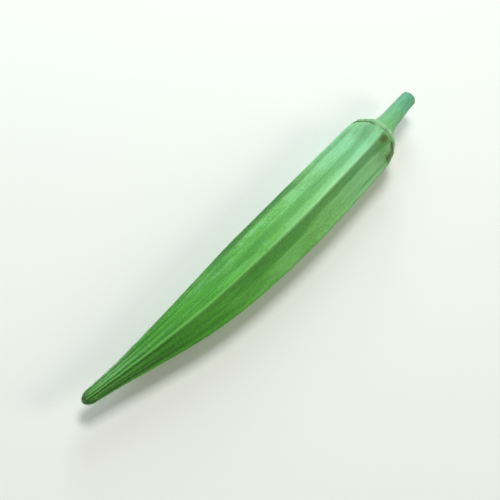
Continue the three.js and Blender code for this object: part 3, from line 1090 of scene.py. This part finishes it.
# %% Shine and bumps
STREAK_SHARE, ROUGHNESS_SPAN = 0.7, (-0.9, 1.7)
streaks = stretched_noise(tree, lay, (6, 1, 1), scale=20.0, roughness=0.6)
height = sums(tree, "ADD", fine_noise(tree, scale=2600.0), product(tree, streaks, STREAK_SHARE))
height = product(tree, height, rescale(tree, calm, times=-0.4, plus=1.0))
bumps = add(tree, "ShaderNodeBump", {"Strength": 0.5, "Distance": 0.0001, "Height": height})
tree.links.new(bumps.outputs[0], shader.inputs["Normal"])
tree.links.new(window(tree, streaks, *ROUGHNESS_SPAN), shader.inputs["Roughness"])
set_all_over(shader, {
    "Specular IOR Level": 0.3, "Sheen Weight": 0.03, "Sheen Roughness": 0.4,
    "Subsurface Weight": 0.08, "Subsurface Scale": 0.001})
pod.data.materials.append(skin)
print("nodes of the whole skin:", len(tree.nodes))

# %% [markdown]
# ## The skin of the stem
# The stub is a duller, bluer green than the capsule, paler at the rim of the cap, and streaked by its
# fibres. It has its own finish rather than a tint of the capsule's, because nothing of the capsule's
# pattern runs on past the scar.

# %% Stem greens
STEM_GREENS = [
    (0.0, (0.48, 0.66, 0.46)), (0.05, (0.55, 0.73, 0.56)), (0.1, (0.42, 0.65, 0.43)),
    (0.4, (0.42, 0.68, 0.46)), (1.0, (0.35, 0.61, 0.49)),
]
FIBRE_GREYS = [(0.3, (0.6, 0.62, 0.58)), (0.7, (0.84, 0.86, 0.84))]
STEM_SPECK_GREEN = (0.18, 0.32, 0.16)
bark, tree, shader = new_finish("stem_bark")
lay = attribute(tree, "lay", "Vector")
along = add(tree, "ShaderNodeSeparateXYZ", {0: lay}).outputs[0]
colour = ramp(tree, window(tree, along, 1.0, STEM_END / POD_LENGTH), STEM_GREENS)
fibres = stretched_noise(tree, lay, (5, 1, 1), scale=6.0, detail=4.0)
colour = shade(tree, colour, fibres, FIBRE_GREYS, strength=0.6)
pricked = specks(tree, lay, stretch=40, scale=3.0, rarity=0.98)
colour = tint(tree, colour, STEM_SPECK_GREEN, where=pricked, strength=0.6)
print("nodes with the stem's fibres:", len(tree.nodes))

# %% [markdown]
# The cut end is dry: a pale ring of bark, a greener ring inside it, a pale one round the middle and a
# dark pith. The distance from the axis, blurred by a noise, runs through a ramp of rings, which shows
# only on the cut face and in the hollow of the pith.

# %% The cut end
RINGS = [
    (0.2, (0.20, 0.22, 0.10)), (0.3, (0.62, 0.70, 0.50)), (0.55, (0.46, 0.63, 0.38)),
    (0.78, (0.66, 0.75, 0.56)), (0.9, (0.40, 0.57, 0.36)), (1.0, (0.42, 0.56, 0.38)),
]
CUT_FROM = (STEM_END - CUT_EDGE) / POD_LENGTH
CUT_FULL = CUT_FROM + 0.3 * CUT_EDGE / POD_LENGTH
# The middle of the cap's underside is as near the axis as the pith, so only what lies past the cap counts
PITH_EDGE, PAST_CAP = (1.1 * PITH_RADIUS, PITH_RADIUS), (1.1, 1.12)
pores = fine_noise(tree, scale=2200.0, detail=3.0)
from_axis = sums(tree, "ADD", attribute(tree, "radius"), rescale(tree, pores, times=0.5, plus=-0.25))
rings = ramp(tree, sums(tree, "DIVIDE", from_axis, STEM_END_RADIUS), RINGS)
pith = product(tree, window(tree, attribute(tree, "radius"), *PITH_EDGE), window(tree, along, *PAST_CAP))
at_cut = sums(tree, "MAXIMUM", window(tree, along, CUT_FROM, CUT_FULL), pith)
tree.links.new(blend(tree, at_cut, colour, rings), shader.inputs["Base Color"])
bumps = add(tree, "ShaderNodeBump", {"Strength": 0.4, "Distance": 0.00015, "Height": pores})
tree.links.new(bumps.outputs[0], shader.inputs["Normal"])
set_all_over(shader, {"Roughness": 0.55, "Subsurface Weight": 0.1, "Subsurface Scale": 0.0012})
stem.data.materials.append(bark)
print("nodes of the whole stem:", len(tree.nodes))

# %% [markdown]
# ## The hairs
# The hairs are stiff and nearly clear, so they look like a paler green than the skin. Clear cones
# would be slow to render and look no different from a step away. They are far too fine for a pattern
# of their own: one noise gives each its shade of green.

# %% Hair colour
HAIR_GREENS = [(0.3, (0.45, 0.68, 0.35)), (0.7, (0.72, 0.86, 0.62))]
down, tree, shader = new_finish("pale_hair")
hair_colour = ramp(tree, fine_noise(tree, scale=900.0), HAIR_GREENS)
tree.links.new(hair_colour, shader.inputs["Base Color"])
set_all_over(shader, {"Roughness": 0.5})
fuzz.data.materials.append(down)
print("nodes of the hairs:", len(tree.nodes))

# %% [markdown]
# ## The dried scar
# The tissue that held the calyx has dried to a dark olive crust, which is dull and patchy. Over the
# top ridge it has worn away down to the pale rim below. A dot product with the direction of that
# place says how near a point of the ring is to it, and needs no mark of its own on the mesh.

# %% Scar colour
CRUST_BROWNS = [(0.35, (0.16, 0.24, 0.10)), (0.65, (0.36, 0.42, 0.22))]
WORN_GREEN, WORN_EDGE = (0.58, 0.77, 0.55), (0.82, 0.93)
crust, tree, shader = new_finish("scar_crust")
lay = attribute(tree, "lay", "Vector")
colour = ramp(tree, stretched_noise(tree, lay, (1, 1, 1), scale=5.0), CRUST_BROWNS)
worn_turn = math.radians(SCAR_WORN_AT)
worn_direction = (0, math.cos(worn_turn), math.sin(worn_turn))
to_worn = add(tree, "ShaderNodeVectorMath", {0: lay, 1: worn_direction}, operation="DOT_PRODUCT")
worn = window(tree, to_worn.outputs["Value"], *WORN_EDGE)
tree.links.new(blend(tree, worn, colour, light(WORN_GREEN)), shader.inputs["Base Color"])
set_all_over(shader, {"Roughness": 0.8})
scar.data.materials.append(crust)
print("nodes of the scar:", len(tree.nodes))

# %% [markdown]
# ## The table
# A plain pale table carries the pod. A curved backdrop could hide its far edge, but a grid of one
# face, large enough to reach past the picture, does the same from above.

# %% Table
TABLE_SIZE, TABLE_COLOUR = 6.0, (0.93, 0.93, 0.92)
table_bm = bmesh.new()
bmesh.ops.create_grid(table_bm, x_segments=1, y_segments=1, size=TABLE_SIZE / 2)
table_mesh = bpy.data.meshes.new("table")
table_bm.to_mesh(table_mesh)
table_bm.free()
table = bpy.data.objects.new("table", table_mesh)
bpy.context.scene.collection.objects.link(table)
table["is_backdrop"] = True
paint, tree, shader = new_finish("pale_table")
set_all_over(shader, {"Base Color": light(TABLE_COLOUR), "Roughness": 0.9})
table.data.materials.append(paint)
print("table, m:", [round(c, 2) for c in table.dimensions])

# %% [markdown]
# ## The light
# One large soft lamp stands for a window on the hollow side of the bow, a cooler low one gives the
# ridges their sheen, and a warm one from the stem's other side keeps the shaded faces green. The pale
# surroundings fill the rest. An area lamp is the softest light that Blender has: the larger it is, the
# softer the shadow's edge. Each is placed by the direction that it shines from, so it can be moved
# round the pod in thought.

# %% Lamps


def lamp(name, towards, distance, size, power, colour):
    """A square soft lamp that stands in a direction from the pod and faces it."""
    made = bpy.data.lights.new(name, "AREA")
    made.size, made.energy, made.color = size, power, colour
    stand = bpy.data.objects.new(name, made)
    direction = Vector(towards).normalized()
    stand.location = direction * distance
    stand.rotation_euler = (-direction).to_track_quat("-Z", "Y").to_euler()
    bpy.context.scene.collection.objects.link(stand)


lamp("window", towards=(0.10, 0.42, 0.90), distance=0.9, size=0.3, power=4.4, colour=(1.0, 1.0, 0.98))
lamp("sky", towards=(0.56, 0.70, 0.46), distance=0.5, size=0.22, power=1.1, colour=(0.72, 0.97, 1.0))
lamp("room", towards=(0.60, -0.62, 0.50), distance=0.9, size=0.4, power=2.45, colour=(1.0, 1.0, 0.76))
print("lamps:", [made.name for made in bpy.data.lights])

# %% Surroundings
AIR_COLOUR, AIR_STRENGTH = (1.0, 1.0, 0.98, 1), 0.28
world = bpy.data.worlds.new("surroundings")
world.use_nodes = True
set_all_over(world.node_tree.nodes["Background"], {"Color": AIR_COLOUR, "Strength": AIR_STRENGTH})
bpy.context.scene.world = world
bpy.context.scene.view_settings.view_transform = "Standard"
print("light from all round:", AIR_STRENGTH)

# %% [markdown]
# ## The camera
# The view is from above the tip end, and the pod runs from the lower left of the picture to the upper
# right. The camera therefore stands in the upright plane of the pod's axis, and is turned about its
# own line of sight. Turning it by three angles would be trial and error. A rotation matrix built from
# the picture's right, its up and the line of sight says the view most plainly.

# %% Measures of the view
PICTURE_SIDE = 500
FOCUS_PIXELS = 1511
SENSOR = 36
VIEW_HEIGHT = math.radians(58)
LEAN_IN_PICTURE = math.radians(42.447)
VIEW_DISTANCE = 0.42
AIM_FROM_TIP, AIM_ABOVE_TABLE = 67.6, 7.3
gaze = Vector((math.cos(VIEW_HEIGHT), 0, -math.sin(VIEW_HEIGHT)))
pod_up = Vector((math.sin(VIEW_HEIGHT), 0, math.cos(VIEW_HEIGHT)))
pod_side = Vector((0, -1, 0))
picture_right = math.cos(LEAN_IN_PICTURE) * pod_up + math.sin(LEAN_IN_PICTURE) * pod_side
picture_up = math.sin(LEAN_IN_PICTURE) * pod_up - math.cos(LEAN_IN_PICTURE) * pod_side
print("the picture's right runs along", [round(c, 2) for c in picture_right])

# %% Camera
lens = bpy.data.cameras.new("camera")
lens.sensor_width = SENSOR
lens.lens = SENSOR * FOCUS_PIXELS / PICTURE_SIDE
camera = bpy.data.objects.new("camera", lens)
aim = Vector((pod_low.x + AIM_FROM_TIP * MM, shift.y * MM, AIM_ABOVE_TABLE * MM))
turned = Matrix((picture_right, picture_up, -gaze)).transposed().to_4x4()
camera.matrix_world = Matrix.Translation(aim - gaze * VIEW_DISTANCE) @ turned
bpy.context.scene.collection.objects.link(camera)
bpy.context.scene.camera = camera
print("camera stands at, m:", [round(c, 3) for c in camera.matrix_world.translation])

# %% [markdown]
# ## Is it still the right size?
# The dressed pod has to fill the same box as the plain one. How far it has grown past the plain box on each
# side is printed.

# %% Print the growth and finish
dressed_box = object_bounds()
growth = (*(plain_box[0] - dressed_box[0]), *(dressed_box[1] - plain_box[1]))
print("grown by, mm:", [round(c / MM, 3) for c in growth])
